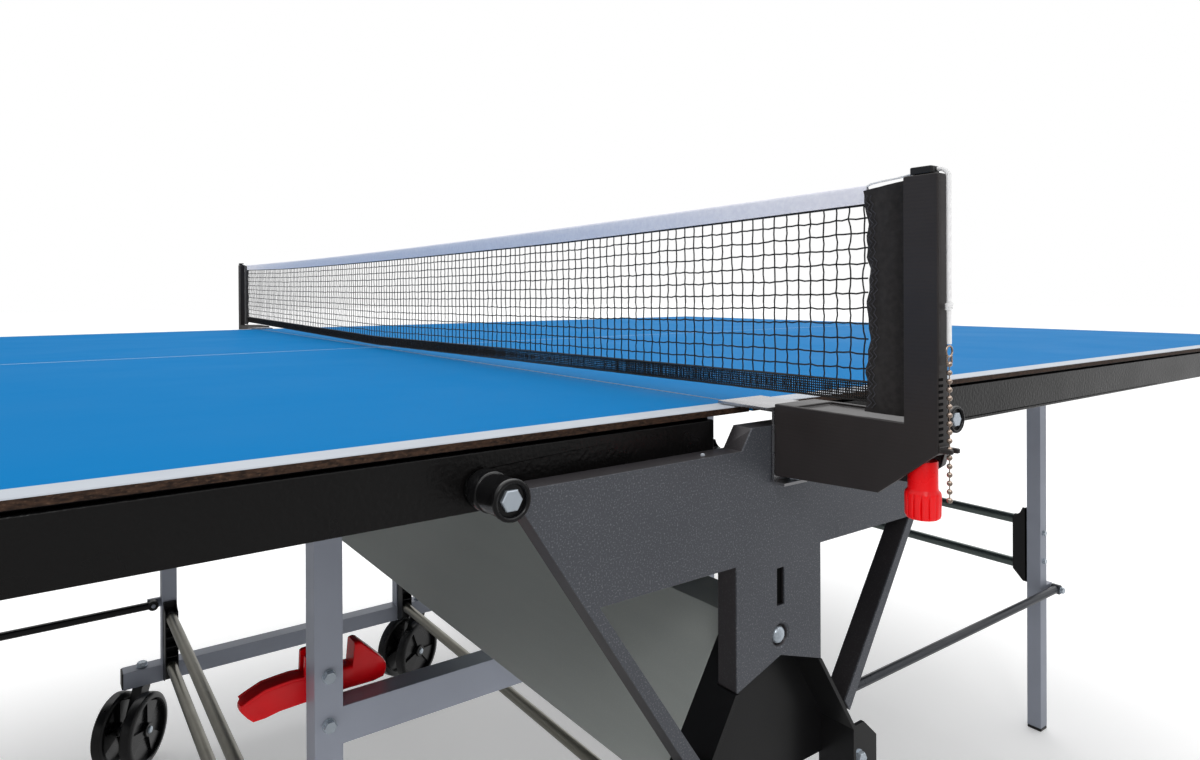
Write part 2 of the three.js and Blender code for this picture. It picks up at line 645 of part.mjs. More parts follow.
// Split ring and bead chain that hang from the cord's end.
const beadChain = () => {
  const ringZ = CORD.end - CHAIN.ring - CHAIN.wire - GAP;
  const ring = solid(
    new THREE.TorusGeometry(CHAIN.ring, CHAIN.wire, 6, 16)
      .rotateX(Math.PI / 2)
      .translate(CORD.x, -CORD.y, ringZ),
  );
  const top = ringZ - CHAIN.ring + 0.4;
  return join(ring, rod("z", CHAIN.radius, CHAIN.bottom, top, [CORD.x, -CORD.y], 8));
};
add("net_cord", netCord(), CORD_WHITE);
add("bead_chain", beadChain(), ZINC);

export default table;
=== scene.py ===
"""Folding ping pong table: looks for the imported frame. Blender 4.5, metres, +Z up."""
import json
import math
import random

import bmesh
import bpy
from mathutils import Matrix, Vector, noise


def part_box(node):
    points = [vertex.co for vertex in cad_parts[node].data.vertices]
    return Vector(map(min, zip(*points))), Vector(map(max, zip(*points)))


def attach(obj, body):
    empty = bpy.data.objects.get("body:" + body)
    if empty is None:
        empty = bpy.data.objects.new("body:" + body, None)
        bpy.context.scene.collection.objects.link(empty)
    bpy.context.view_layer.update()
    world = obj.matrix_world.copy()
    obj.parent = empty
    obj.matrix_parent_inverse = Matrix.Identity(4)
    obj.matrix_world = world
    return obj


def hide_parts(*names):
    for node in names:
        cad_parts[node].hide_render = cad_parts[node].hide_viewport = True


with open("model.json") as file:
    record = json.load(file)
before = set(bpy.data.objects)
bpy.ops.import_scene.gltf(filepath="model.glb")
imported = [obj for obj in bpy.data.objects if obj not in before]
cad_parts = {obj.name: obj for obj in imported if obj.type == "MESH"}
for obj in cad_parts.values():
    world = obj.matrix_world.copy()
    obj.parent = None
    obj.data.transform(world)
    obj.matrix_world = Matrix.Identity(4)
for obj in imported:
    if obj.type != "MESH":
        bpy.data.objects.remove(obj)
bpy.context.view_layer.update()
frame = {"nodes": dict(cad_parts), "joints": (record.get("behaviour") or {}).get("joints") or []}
nodes = frame["nodes"]
SIDES = (("left", -1), ("right", 1))
EDGES = (("near", -1), ("far", 1))


# ---- camera, light and floor ----
CAMERA = {
    "lens": 23.4,
    "sensor_width": 36.0,
    "shift_x": 0.0191,
    "shift_y": -0.0722,
    "clip_start": 0.01,
    "clip_end": 200,
}
CAMERA_PLACE = (-0.4418, -1.1639, 0.8452)
CAMERA_TURN = (-0.0027, -0.0042, math.radians(-35.2))  # pitch up, roll, turn about Z


def make_camera():
    data = bpy.data.cameras.new("camera")
    for name, value in CAMERA.items():
        setattr(data, name, value)
    camera = bpy.data.objects.new("camera", data)
    camera.location = CAMERA_PLACE
    pitch, roll, yaw = CAMERA_TURN
    turn = Matrix.Rotation(yaw, 4, "Z") @ Matrix.Rotation(math.pi / 2 + pitch, 4, "X")
    camera.rotation_euler = (turn @ Matrix.Rotation(roll, 4, "Z")).to_euler()
    bpy.context.scene.collection.objects.link(camera)
    bpy.context.scene.camera = camera


def area_light(name, location, target, size, power):
    data = bpy.data.lights.new(name, "AREA")
    data.shape = "RECTANGLE"
    data.size, data.size_y = size
    data.energy = power
    light = bpy.data.objects.new(name, data)
    light.location = location
    aim = Vector(target) - Vector(location)
    light.rotation_euler = aim.to_track_quat("-Z", "Y").to_euler()
    bpy.context.scene.collection.objects.link(light)


def sky_lobe(tree, direction, tightness, strength, total):
    """Adds light from around one direction to total, which is a number or a socket."""
    view = tree.nodes.new("ShaderNodeTexCoord").outputs["Generated"]
    facing = tree.nodes.new("ShaderNodeVectorMath")
    facing.operation = "DOT_PRODUCT"
    facing.inputs[1].default_value = Vector(direction).normalized()
    tree.links.new(view, facing.inputs[0])
    value = facing.outputs["Value"]
    steps = (("MAXIMUM", 0.0), ("POWER", tightness), ("MULTIPLY", strength), ("ADD", total))
    for operation, amount in steps:
        step = tree.nodes.new("ShaderNodeMath")
        step.operation = operation
        tree.links.new(value, step.inputs[0])
        if isinstance(amount, float):
            step.inputs[1].default_value = amount
        else:
            tree.links.new(amount, step.inputs[1])
        value = step.outputs["Value"]
    return value


SKY_BASE = 0.2
SKY_LOBES = (  # direction, tightness, strength
    ((0, 0, 1), 2.0, 1.3),
    ((1, 0.25, 0.1), 2.0, 0.75),
    ((0.3, 1, 0.1), 3.0, 0.12),
)


def make_world():
    """A white studio, lit from above and from the right, and darker in front and below."""
    world = bpy.data.worlds.new("studio")
    world.use_nodes = True
    tree = world.node_tree
    total = SKY_BASE
    for direction, tightness, strength in SKY_LOBES:
        total = sky_lobe(tree, direction, tightness, strength, total)
    seen = tree.nodes.new("ShaderNodeLightPath").outputs["Is Camera Ray"]
    mix = tree.nodes.new("ShaderNodeMix")
    tree.links.new(seen, mix.inputs["Factor"])
    tree.links.new(total, mix.inputs["A"])
    mix.inputs["B"].default_value = 1.0
    background = tree.nodes["Background"]
    background.inputs["Color"].default_value = (1, 1, 1, 1)
    tree.links.new(mix.outputs["Result"], background.inputs["Strength"])
    bpy.context.scene.world = world


def make_stage():
    make_world()
    bpy.context.scene.view_settings.view_transform = "Standard"
    area_light("overhead", (0.4, 0.6, 3.4), (0, 0, 0.7), (4.0, 3.0), 35)
    area_light("front", (-1.6, -3.0, 2.6), (0, -0.6, 0.7), (0.9, 0.9), 14)
    floor_data = bpy.data.meshes.new("floor")
    reach, drop = 40, -0.0005
    turns = ((-1, -1), (1, -1), (1, 1), (-1, 1))
    floor_data.from_pydata([(x * reach, y * reach, drop) for x, y in turns], [], [(0, 1, 2, 3)])
    floor = bpy.data.objects.new("floor", floor_data)
    floor.visible_glossy = False
    bpy.context.scene.collection.objects.link(floor)
    paint = bpy.data.materials.new("floor_paint")
    paint.use_nodes = True
    surface = paint.node_tree.nodes["Principled BSDF"]
    surface.inputs["Base Color"].default_value = (0.93, 0.93, 0.93, 1)
    surface.inputs["Roughness"].default_value = 0.9
    surface.inputs["Specular IOR Level"].default_value = 0.1
    surface.inputs["Emission Color"].default_value = (1, 1, 1, 1)
    surface.inputs["Emission Strength"].default_value = 0.25
    floor_data.materials.append(paint)


make_camera()
make_stage()


# ---- materials ----
def linear(colour):
    """Display colour to the linear values that a shader socket takes."""
    return tuple(c / 12.92 if c <= 0.04045 else ((c + 0.055) / 1.055) ** 2.4 for c in colour)


WAVE_PERIOD = math.pi / 10  # of Blender's wave texture at scale 1, in its bands mode


class Shader:
    """A Principled material in object coordinates (metres), built up one feature at a time."""

    def __init__(self, name, colour, rough, metal=0.0, spec=0.5):
        self.material = bpy.data.materials.new(name)
        self.material.use_nodes = True
        self.tree = self.material.node_tree
        self.surface = self.tree.nodes["Principled BSDF"]
        self.height = None
        self.rough = rough
        self.surface.inputs["Base Color"].default_value = (*linear(colour), 1)
        self.surface.inputs["Roughness"].default_value = rough
        self.surface.inputs["Metallic"].default_value = metal
        self.surface.inputs["Specular IOR Level"].default_value = spec
        self.coords = self.tree.nodes.new("ShaderNodeTexCoord").outputs["Object"]

    def node(self, kind, **inputs):
        made = self.tree.nodes.new(kind)
        for name, value in inputs.items():
            made.inputs[name].default_value = value
        return made

    def link(self, a, b):
        self.tree.links.new(a, b)

    def stretched(self, scale):
        mapping = self.tree.nodes.new("ShaderNodeMapping")
        mapping.inputs["Scale"].default_value = scale
        self.link(self.coords, mapping.inputs["Vector"])
        return mapping.outputs["Vector"]

    def noise(self, scale, detail=3.0, stretch=None):
        made = self.node("ShaderNodeTexNoise", Scale=scale, Detail=detail)
        self.link(self.stretched(stretch) if stretch else self.coords, made.inputs["Vector"])
        return made.outputs["Fac"]

    def behind(self, low, high):
        """1 where the distance from the middle plane Y = 0 is under low, falling to 0 at high."""
        parts = self.node("ShaderNodeSeparateXYZ")
        self.link(self.coords, parts.inputs["Vector"])
        away = self.node("ShaderNodeMath")
        away.operation = "ABSOLUTE"
        self.link(parts.outputs["Y"], away.inputs[0])
        return self.spread(away.outputs["Value"], 1, 0, low, high)

    def spread(self, value, low, high, start=0.3, end=0.7):
        """Maps a 0-1 pattern from start-end to low-high."""
        made = self.node("ShaderNodeMapRange")
        made.inputs["From Min"].default_value = start
        made.inputs["From Max"].default_value = end
        made.inputs["To Min"].default_value = low
        made.inputs["To Max"].default_value = high
        self.link(value, made.inputs["Value"])
        return made.outputs["Result"]

    def tint(self, pattern, other, amount=1.0, start=0.35, end=0.65):
        """Mixes another colour in where the pattern is high."""
        mix = self.tree.nodes.new("ShaderNodeMix")
        mix.data_type = "RGBA"
        source = self.surface.inputs["Base Color"]
        if source.is_linked:
            self.link(source.links[0].from_socket, mix.inputs[6])
        else:
            mix.inputs[6].default_value = source.default_value
        mix.inputs[7].default_value = (*linear(other), 1)
        self.link(self.spread(pattern, 0, amount, start, end), mix.inputs[0])
        self.link(mix.outputs[2], source)
        return self

    def polish(self, pattern, change):
        """Roughness varies by +-change with the pattern."""
        value = self.spread(pattern, max(0.02, self.rough - change), self.rough + change)
        self.link(value, self.surface.inputs["Roughness"])
        return self

    def relief(self, pattern, distance, strength=1.0):
        bump = self.node("ShaderNodeBump", Strength=strength, Distance=distance)
        self.link(pattern, bump.inputs["Height"])
        if self.height is not None:
            self.link(self.height, bump.inputs["Normal"])
        self.height = bump.outputs["Normal"]
        self.link(self.height, self.surface.inputs["Normal"])
        return self

    def bands(self, direction, pitch):
        """Ridges across one direction with the given pitch in metres."""
        wave = self.node("ShaderNodeTexWave", Scale=WAVE_PERIOD / pitch)
        wave.bands_direction = direction
        self.link(self.coords, wave.inputs["Vector"])
        return wave.outputs["Fac"]

    def done(self):
        return self.material


def playing_blue():
    s = Shader("playing_blue", (0.0, 0.445, 0.69), 0.5, spec=0.012)
    s.tint(s.noise(1.3, 2), (0.0, 0.455, 0.705), 0.4)
    s.tint(s.noise(900, 1), (0.01, 0.48, 0.73), 0.25, 0.62, 0.75)
    s.polish(s.noise(7, 4), 0.04)
    return s.relief(s.noise(1600, 2), 0.00004, 0.3).done()


def line_white():
    s = Shader("line_white", (0.72, 0.745, 0.775), 0.5, spec=0.2)
    s.tint(s.noise(30, 4), (0.67, 0.69, 0.73), 0.4)
    return s.relief(s.noise(1400, 2), 0.00004, 0.3).done()


def board_core():
    s = Shader("board_core", (0.27, 0.19, 0.14), 0.6, spec=0.2)
    s.tint(s.noise(220, 4, (1, 1, 3)), (0.13, 0.09, 0.07), 0.9)
    s.tint(s.noise(500, 3, (1, 1, 2)), (0.42, 0.32, 0.25), 0.6, 0.55, 0.8)
    return s.relief(s.noise(500, 3, (1, 1, 6)), 0.0002, 0.5).done()


def board_back():
    s = Shader("board_back", (0.10, 0.15, 0.20), 0.6)
    s.tint(s.noise(6, 4), (0.07, 0.11, 0.15), 0.6)
    return s.relief(s.noise(700, 2), 0.0001, 0.3).done()


def powder(name, colour, rough, grain, depth, metal=0.0, strength=0.5):
    """Powder coat: slight tone changes and a fine or leathery grain."""
    s = Shader(name, colour, rough, metal)
    s.tint(s.noise(9, 3), tuple(min(1, c * 1.12 + 0.005) for c in colour), 0.4)
    s.polish(s.noise(20, 3), 0.04)
    return s.relief(s.noise(grain, 2), depth, strength).done()


PLATE_SKIN = (0.7884, 0.7893)  # |Y| over which the side plate's colour changes from its darker flanges to its face


def plate_coat():
    """The side plates' metallic grey, darker on the flanges behind the face."""
    s = Shader("metallic_grey_coat", (0.325, 0.335, 0.36), 0.4, 0.4)
    s.tint(s.noise(9, 3), (0.37, 0.38, 0.405), 0.4)
    s.tint(s.noise(900, 1), (0.53, 0.54, 0.56), 0.65, 0.56, 0.70)
    s.tint(s.behind(*PLATE_SKIN), (0.17, 0.15, 0.155), 0.85, 0, 1)
    s.polish(s.noise(20, 3), 0.04)
    return s.relief(s.noise(900, 2), 0.00006, 0.5).done()


def galvanised():
    """Satin zinc sheet with a soft, slow change of tone and fine rolling marks."""
    s = Shader("galvanised_sheet", (0.70, 0.72, 0.71), 0.5, 0.25)
    s.tint(s.noise(1.6, 2), (0.60, 0.62, 0.60), 0.7)
    s.tint(s.noise(60, 3, (1, 0.05, 1)), (0.74, 0.76, 0.74), 0.18, 0.4, 0.7)
    s.tint(s.noise(1300, 1), (0.78, 0.80, 0.78), 0.3, 0.58, 0.75)
    s.polish(s.noise(12, 3), 0.05)
    return s.relief(s.noise(900, 2), 0.00003, 0.25).done()


def plated(name, colour, rough, metal=0.9):
    """Plated metal, a little darker in patches."""
    s = Shader(name, colour, rough, metal)
    s.tint(s.noise(25, 3), tuple(c * 0.86 for c in colour), 0.25)
    s.polish(s.noise(60, 3), 0.04)
    return s.relief(s.noise(900, 2), 0.00002, 0.2).done()


def moulded(name, colour, rough, grain=700.0, depth=0.00006, lines=None, spec=0.5):
    """Moulded plastic with a fine grain, and level drag lines at a pitch if lines is given."""
    s = Shader(name, colour, rough, spec=spec)
    s.tint(s.noise(18, 4), tuple(min(1, c * 1.15 + 0.008) for c in colour), 0.5)
    s.polish(s.noise(40, 4), 0.05)
    s.relief(s.noise(grain, 2), depth, 0.35)
    if lines:
        s.relief(s.bands("Z", lines), 0.0001, 0.2)
    return s.done()


def woven(name, colour, pitch, fuzz=None, strength=0.3):
    """Cloth or thread with crossing ridges at a pitch; fuzz is its second tone."""
    s = Shader(name, colour, 0.85, spec=0.25)
    s.surface.inputs["Sheen Weight"].default_value = 0.2
    s.surface.inputs["Sheen Roughness"].default_value = 0.5
    s.tint(s.noise(300, 4), fuzz or tuple(min(1, c * 1.35 + 0.015) for c in colour), 0.5)
    s.relief(s.bands("Y", pitch), pitch * 0.3, strength)
    return s.relief(s.bands("Z", pitch), pitch * 0.3, strength).done()


MAT = {
    "blue": playing_blue(),
    "white": line_white(),
    "core": board_core(),
    "back": board_back(),
    "apron": powder("apron_powder_coat", (0.05, 0.045, 0.045), 0.3, 300, 0.0006, strength=0.8),
    "plate": plate_coat(),
    "frame": powder("frame_grey_coat", (0.60, 0.62, 0.67), 0.36, 600, 0.00005, metal=0.2),
    "black": powder("black_coat", (0.07, 0.07, 0.075), 0.32, 700, 0.00008),
    # A lighter grey for the right link rods, which are the same black rods as the left ones: the lighter
    # grey is painted light.
    "rod": powder("painted_light_rod_coat", (0.26, 0.27, 0.29), 0.3, 700, 0.00005, metal=0.4),
    "galvanised": galvanised(),
    "zinc": plated("zinc_plate", (0.78, 0.82, 0.86), 0.26, metal=0.55),
    "carriage_tube": plated("bronze_grey_tube", (0.64, 0.63, 0.59), 0.34),
    "leg_tube": plated("green_grey_tube", (0.52, 0.56, 0.55), 0.34),
    "steel": plated("clip_steel", (0.70, 0.70, 0.71), 0.28),
    "nickel": plated("nickel_beads", (0.82, 0.74, 0.68), 0.18),
    "plastic": moulded("black_nylon", (0.10, 0.10, 0.105), 0.38),
    "sleeve": moulded("black_sleeve", (0.06, 0.06, 0.065), 0.2, 400, 0.00003),
    "post": moulded("post_nylon", (0.17, 0.155, 0.155), 0.4, lines=0.0024),
    "wheel": moulded("wheel_black", (0.07, 0.07, 0.075), 0.3, 350),
    "red": moulded("red_plastic", (0.94, 0.04, 0.07), 0.3, 500, spec=0.4),
    "lever_red": moulded("lever_red_plastic", (0.84, 0.0, 0.05), 0.2, 300),
    "net": woven("net_cord_black", (0.07, 0.07, 0.072), 0.0007),
    "hem": woven("hem_thread", (0.085, 0.075, 0.07), 0.0006),
    "cloth": woven("black_cloth", (0.135, 0.125, 0.125), 0.0007, strength=0.2),
    "band": woven("white_band", (0.93, 0.93, 0.96), 0.0009, (0.86, 0.86, 0.91), 0.12),
    "cord": woven("white_cord", (0.92, 0.92, 0.92), 0.0009),
    "thread": woven("stitch_thread", (0.20, 0.20, 0.22), 0.0005),
    # Flat near-black for painted shade: laid in the side plate's slot and in the posts' notches, where the
    # hollows are in shadow.
    "painted_shade": moulded("painted_recess_shade", (0.03, 0.03, 0.03), 0.7, spec=0.1),
}


# ---- mesh building ----
AXIS = 0.0001  # the radius that stands for a lathe profile's end on its axis


def around(sides):
    """Angles evenly round a circle."""
    return [2 * math.pi * k / sides for k in range(sides)]


class Build:
    """Collects closed shapes, each with a material key, and makes one object of them."""

    def __init__(self):
        self.verts, self.faces, self.keys, self.used = [], [], [], []

    def add(self, verts, faces, key):
        start = len(self.verts)
        if key not in self.used:
            self.used.append(key)
        self.verts.extend(tuple(v) for v in verts)
        self.faces.extend(tuple(i + start for i in f) for f in faces)
        self.keys.extend([self.used.index(key)] * len(faces))
        return self

    def rings(self, rings, key, closed=False, caps=True):
        """Joins rings of equal length with quads. Ends are capped, or joined if closed."""
        count = len(rings[0])
        verts = [v for ring in rings for v in ring]
        faces = []
        for i in range(len(rings) if closed else len(rings) - 1):
            a, b = i * count, (i + 1) % len(rings) * count
            faces += [(a + j, a + (j + 1) % count, b + (j + 1) % count, b + j) for j in range(count)]
        if caps and not closed:
            last = (len(rings) - 1) * count
            faces += [tuple(reversed(range(count))), tuple(last + j for j in range(count))]
        return self.add(verts, faces, key)

    def box(self, low, high, key):
        flat = ((low[0], low[1]), (high[0], low[1]), (high[0], high[1]), (low[0], high[1]))
        return self.rings([[(x, y, z) for x, y in flat] for z in (low[2], high[2])], key)

    def prism_yz(self, points, x0, x1, key):
        return self.rings([[(x, y, z) for y, z in points] for x in (x0, x1)], key)

    def lathe(self, profile, place, key, sides=32, closed=False):
        """A profile of (radius, height) pairs turned about Z, then placed by a matrix."""
        rings = [
            [place @ Vector((r * math.cos(a), r * math.sin(a), h)) for a in around(sides)]
            for r, h in profile
        ]
        return self.rings(rings, key, closed)

    def tube(self, path, radius, key, sides=8, closed=False):
        """A round tube through the points of a path."""
        path = [Vector(p) for p in path]
        rings = []
        side = None
        for i, p in enumerate(path):
            before = path[i - 1] if i or closed else p
            after = path[(i + 1) % len(path)] if closed or i + 1 < len(path) else p
            direction = (after - before).normalized()
            if side is None:
                seed = Vector((1, 0, 0)) if abs(direction.x) < 0.9 else Vector((0, 1, 0))
                side = direction.cross(seed)
            side = (side - direction * side.dot(direction)).normalized()
            up = direction.cross(side)
            rings.append([p + (side * math.cos(a) + up * math.sin(a)) * radius for a in around(sides)])
        return self.rings(rings, key, closed)

    def make(self, name, body, replaces=(), bevel=0.0, smooth=40):
        """The finished object, smooth below an angle in degrees, riding on a body."""
        mesh = bpy.data.meshes.new(name)
        mesh.from_pydata(self.verts, [], self.faces)
        for key in self.used:
            mesh.materials.append(MAT[key])
        mesh.polygons.foreach_set("material_index", self.keys)
        mesh.validate()
        piece = bpy.data.objects.new(name, mesh)
        bpy.context.scene.collection.objects.link(piece)
        fix_normals(mesh)
        if bevel:
            add_bevel(piece, bevel)
        if smooth:
            mesh.shade_smooth()
            mesh.set_sharp_from_angle(angle=math.radians(smooth))
        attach(piece, body)
        if replaces:
            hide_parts(*replaces)
        return piece


def fix_normals(mesh, weld=0.0):
    """Turns all faces outwards, after joining vertices that are nearer than weld."""
    work = bmesh.new()
    work.from_mesh(mesh)
    if weld:
        bmesh.ops.remove_doubles(work, verts=work.verts, dist=weld)
    bmesh.ops.recalc_face_normals(work, faces=work.faces)
    work.to_mesh(mesh)
    work.free()


def add_bevel(piece, width, segments=2):
    bevel = piece.modifiers.new("edge", "BEVEL")
    bevel.width = width
    bevel.segments = segments
    bevel.limit_method = "ANGLE"
    bevel.angle_limit = math.radians(35)
    bevel.harden_normals = True


def placed(origin, axis):
    """A matrix that turns +Z to axis and moves the origin to a point."""
    turn = Vector((0, 0, 1)).rotation_difference(Vector(axis).normalized())
    return Matrix.Translation(origin) @ turn.to_matrix().to_4x4()


def hexagon_head(build, origin, axis, flats, height, washer=True):
    """A hexagon bolt head with a chamfered top, on a washer."""
    place = placed(origin, axis)
    corner = flats / 2 / math.cos(math.pi / 6)
    base = 0.0
    if washer:
        disc = flats * 0.63
        base = 0.0009
        build.lathe([(AXIS, 0), (disc, 0), (disc, base), (AXIS, base)], place, "zinc", 32)
    shoulder, top = base + height * 0.8, base + height
    head = [(AXIS, base), (corner, base), (corner, shoulder), (corner * 0.9, top), (AXIS, top)]
    build.lathe(head, place, "zinc", 6)


# ---- carried-over CAD nodes ----
def finish_node(name, key, bevel=0.0008, segments=2):
    """Welds, rounds and paints a CAD node without changing its own mesh."""
    node = nodes[name]
    node.data.materials.clear()
    node.data.materials.append(MAT[key])
    weld = node.modifiers.new("weld", "WELD")
    weld.merge_threshold = 0.00002
    if bevel:
        add_bevel(node, bevel, segments)


for side, _ in SIDES:
    finish_node(f"end_apron_{side}", "apron", 0.0022, 3)
    finish_node(f"leg_pivot_bar_{side}", "zinc", 0.0006)
    finish_node(f"hinge_bar_{side}", "black", 0.0006)
    for edge, _ in EDGES:
        finish_node(f"side_apron_{edge}_{side}", "apron", 0.0022, 3)
        finish_node(f"leg_{edge}_{side}", "frame", 0.0018, 3)
        finish_node(f"leg_foot_{edge}_{side}", "plastic", 0.0016, 3)
        # The right link rods take the lighter rod grey, painted light where the right side is better lit;
        # the left ones keep the rods' black.
        finish_node(f"link_rod_{edge}_{side}", "black" if side == "left" else "rod", 0.0006)
        finish_node(f"castor_fork_{edge}_{side}", "plastic", 0.0015, 3)
for edge, _ in EDGES:
    finish_node(f"side_plate_{edge}", "plate", 0.0012, 3)
    finish_node(f"lower_bracket_{edge}", "black", 0.001)
    finish_node(f"side_frame_{edge}", "frame", 0.0018, 3)
    finish_node(f"net_clip_{edge}", "steel", 0.0005)
    finish_node(f"net_bracket_{edge}", "post", 0.0014, 3)
    finish_node(f"post_cap_{edge}", "plastic", 0.0012, 3)
finish_node("cross_girder", "galvanised", 0.0006)


# ---- tabletop halves ----
LINE = 0.020  # width of the lines along the edges
CENTRE_LINE = 0.003
RIM = 0.0006


def tabletop(side, sx):
    """A board whose top face is cut into blue fields and white lines, with a bevelled rim."""
    low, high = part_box(f"tabletop_{side}")
    inner, outer = (low.x, high.x) if sx > 0 else (high.x, low.x)
    xs = [inner, outer - sx * LINE, outer - sx * RIM]
    half, top = high.y, high.z
    ys = [-half + RIM, -half + LINE, -CENTRE_LINE / 2, CENTRE_LINE / 2, half - LINE, half - RIM]
    build = Build()
    verts = [(x, y, top) for x in xs for y in ys]
    columns = len(ys)
    for i in range(len(xs) - 1):
        for j in range(columns - 1):
            line = i == len(xs) - 2 or j in (0, 2, columns - 2)
            a = i * columns + j
            quad = (a, a + columns, a + columns + 1, a + 1)
            build.add([verts[k] for k in quad], [(0, 1, 2, 3)], "white" if line else "blue")
    levels = ((outer - sx * RIM, half - RIM, top), (outer, half, top - RIM), (outer, half, low.z))
    rims = [[(inner, -y, z), (x, -y, z), (x, y, z), (inner, y, z)] for x, y, z in levels]
    # The bevelled rim round the top is white: on the long edges and the outer end it carries the printed
    # lines; at the inner end by the net, where no line is printed, the white is a painted highlight along
    # the edge.
    build.rings(rims[:2], "white", caps=False)
    for j, key in enumerate(("core", "core", "core", "blue")):
        after = (j + 1) % len(rims[1])
        build.add([rims[1][j], rims[1][after], rims[2][after], rims[2][j]], [(0, 1, 2, 3)], key)
    build.add(rims[2], [(0, 1, 2, 3)], "back")
    piece = build.make(f"board_{side}", f"half_{side}", [f"tabletop_{side}"], smooth=0)
    fix_normals(piece.data, weld=0.000005)


for side, sx in SIDES:
    tabletop(side, sx)


# ---- cross frames: tubes and moulded end plates ----
LADDER_HALF = 0.011  # half the width of an end plate
LADDER_WALL = 0.0015
LADDER_DEPTH = 0.0273  # from the frame's inner face to the plate's inner end
LADDER_RUNGS = 4
TUBE_RADIUS = 0.009
LEG_LADDER = ((0.279, 0.422), (0.308, 0.394), 0.020)  # plate's ends, tube heights, bevel
CARRIAGE_LADDER = ((0.130, 0.273), (0.161, 0.250), 0.013)
LEG_INNER = 0.4325  # |Y| of the inner face of the legs
CARRIAGE_INNER = 0.457


def cross_frame(node, body, inner, ladder, key):
    """Two round tubes held by moulded end plates, which are ribbed boxes open to the middle."""
    (low, high), tubes, bevel = ladder
    low_corner, high_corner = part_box(node)
    x = (low_corner.x + high_corner.x) / 2
    outer_x, inner_x = LADDER_HALF, LADDER_HALF - LADDER_WALL
    face, reach = inner - 0.0003, inner - LADDER_DEPTH
    build = Build()
    for z in tubes:
        build.tube([(x, -reach - 0.003, z), (x, reach + 0.003, z)], TUBE_RADIUS, key, 40)
    build.make(f"{node}_tubes", body, [node])
    ends = Build()
    for _, sy in EDGES:
        outline = [
            (sy * face, low), (sy * face, high), (sy * (face - 0.008), high),
            (sy * (face - 0.013), high - bevel * 0.55), (sy * (face - 0.020), high - bevel * 0.85),
            (sy * reach, high - bevel), (sy * reach, low + bevel), (sy * (face - 0.008), low),
        ]
        for x0, x1 in ((x - outer_x, x - inner_x), (x + inner_x, x + outer_x)):
            ends.prism_yz(outline, x0, x1, "plastic")
        y0, y1 = sorted((sy * face, sy * (face - 0.004)))
        ends.box((x - outer_x, y0, low), (x + outer_x, y1, high), "plastic")
        for z in tubes:
            collar = [(0.0092, 0), (0.0105, 0), (0.0105, 0.023), (0.0092, 0.023)]
            ends.lathe(collar, placed((x, sy * reach, z), (0, sy, 0)), "plastic", 32, closed=True)
        y0, y1 = sorted((sy * (face - 0.003), sy * (reach + 0.001)))
        for k in range(LADDER_RUNGS):
            z = tubes[0] + (tubes[1] - tubes[0]) * (k + 1) / (LADDER_RUNGS + 1)
            ends.box((x - inner_x, y0, z - 0.001), (x + inner_x, y1, z + 0.001), "plastic")
    ends.make(f"{node}_plates", body, bevel=0.0005)


for side, _ in SIDES:
    cross_frame(f"leg_cross_frame_{side}", f"legs_{side}", LEG_INNER, LEG_LADDER, "leg_tube")
    carriage_node = f"carriage_cross_frame_{side}"
    cross_frame(carriage_node, "carriage", CARRIAGE_INNER, CARRIAGE_LADDER, "carriage_tube")


# ---- hinge sleeves ----
def hinge_sleeve(edge, sy, side):
    """A turned plastic sleeve with a collar, a rolled rim and a recess for a bolt head."""
    node = f"hinge_sleeve_{edge}_{side}"
    low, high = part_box(node)
    start = min(abs(low.y), abs(high.y))
    length = high.y - low.y
    centre = ((low.x + high.x) / 2, sy * start, (low.z + high.z) / 2)
    place = placed(centre, (0, sy, 0))
    recess = length - 0.003
    profile = [
        (AXIS, 0), (0.0112, 0), (0.0118, 0.0006), (0.0120, 0.0014), (0.0120, 0.0112), (0.0118, 0.0118),
        (0.0113, 0.0122), (0.0113, length - 0.0046), (0.0117, length - 0.0040), (0.0120, length - 0.0028),
        (0.0120, length - 0.0012), (0.0115, length - 0.0003), (0.0107, length), (0.0098, length - 0.0002),
        (0.0092, length - 0.0010), (0.0089, recess), (AXIS, recess),
    ]
    build = Build()
    build.lathe(profile, place, "sleeve", 48)
    build.make(f"hinge_cover_{edge}_{side}", "carriage", [node], smooth=50)


for side, _ in SIDES:
    for edge, sy in EDGES:
        hinge_sleeve(edge, sy, side)


# ---- castor wheels ----
WHEEL_RADIUS = 0.062
WHEEL_SPREAD = 0.025  # from the middle of the axle to the middle of each wheel
TYRE_HALF = 0.011
TYRE = [
    (0.052, -TYRE_HALF), (0.0555, -TYRE_HALF), (0.0585, -TYRE_HALF + 0.0012), (0.0615, -TYRE_HALF + 0.004),
    (WHEEL_RADIUS, 0), (0.0615, TYRE_HALF - 0.004), (0.0585, TYRE_HALF - 0.0012), (0.0555, TYRE_HALF),
    (0.052, TYRE_HALF), (0.0505, TYRE_HALF - 0.002), (0.0505, -TYRE_HALF + 0.002),
]
WEB = [(AXIS, -0.0015), (0.051, -0.0015), (0.051, 0.0015), (AXIS, 0.0015)]
HUB = [
    (0.0041, -0.0105), (0.011, -0.0105), (0.012, -0.009), (0.012, 0.009), (0.011, 0.0105),
    (0.0041, 0.0105),
]
HUB_CAP = [(AXIS, 0), (0.0062, 0), (0.0062, 0.001), (0.005, 0.0026), (0.002, 0.0034), (AXIS, 0.0035)]
RIB = [(0.010, -0.5, 0.0072), (0.051, -0.36, 0.0050), (0.051, 0.36, 0.0050), (0.010, 0.5, 0.0072)]


def wheel_rib(build, place, middle, face):
    """A raised wedge on one face of the web, widening from the hub to the tyre."""
    flat = [(r * math.cos(middle + a), r * math.sin(middle + a), h) for r, a, h in RIB]
    lower = [place @ Vector((u, v, face * 0.0010)) for u, v, _ in flat]
    upper = [place @ Vector((u * 0.985, v * 0.985, face * h)) for u, v, h in flat]
    build.rings([lower, upper], "wheel")


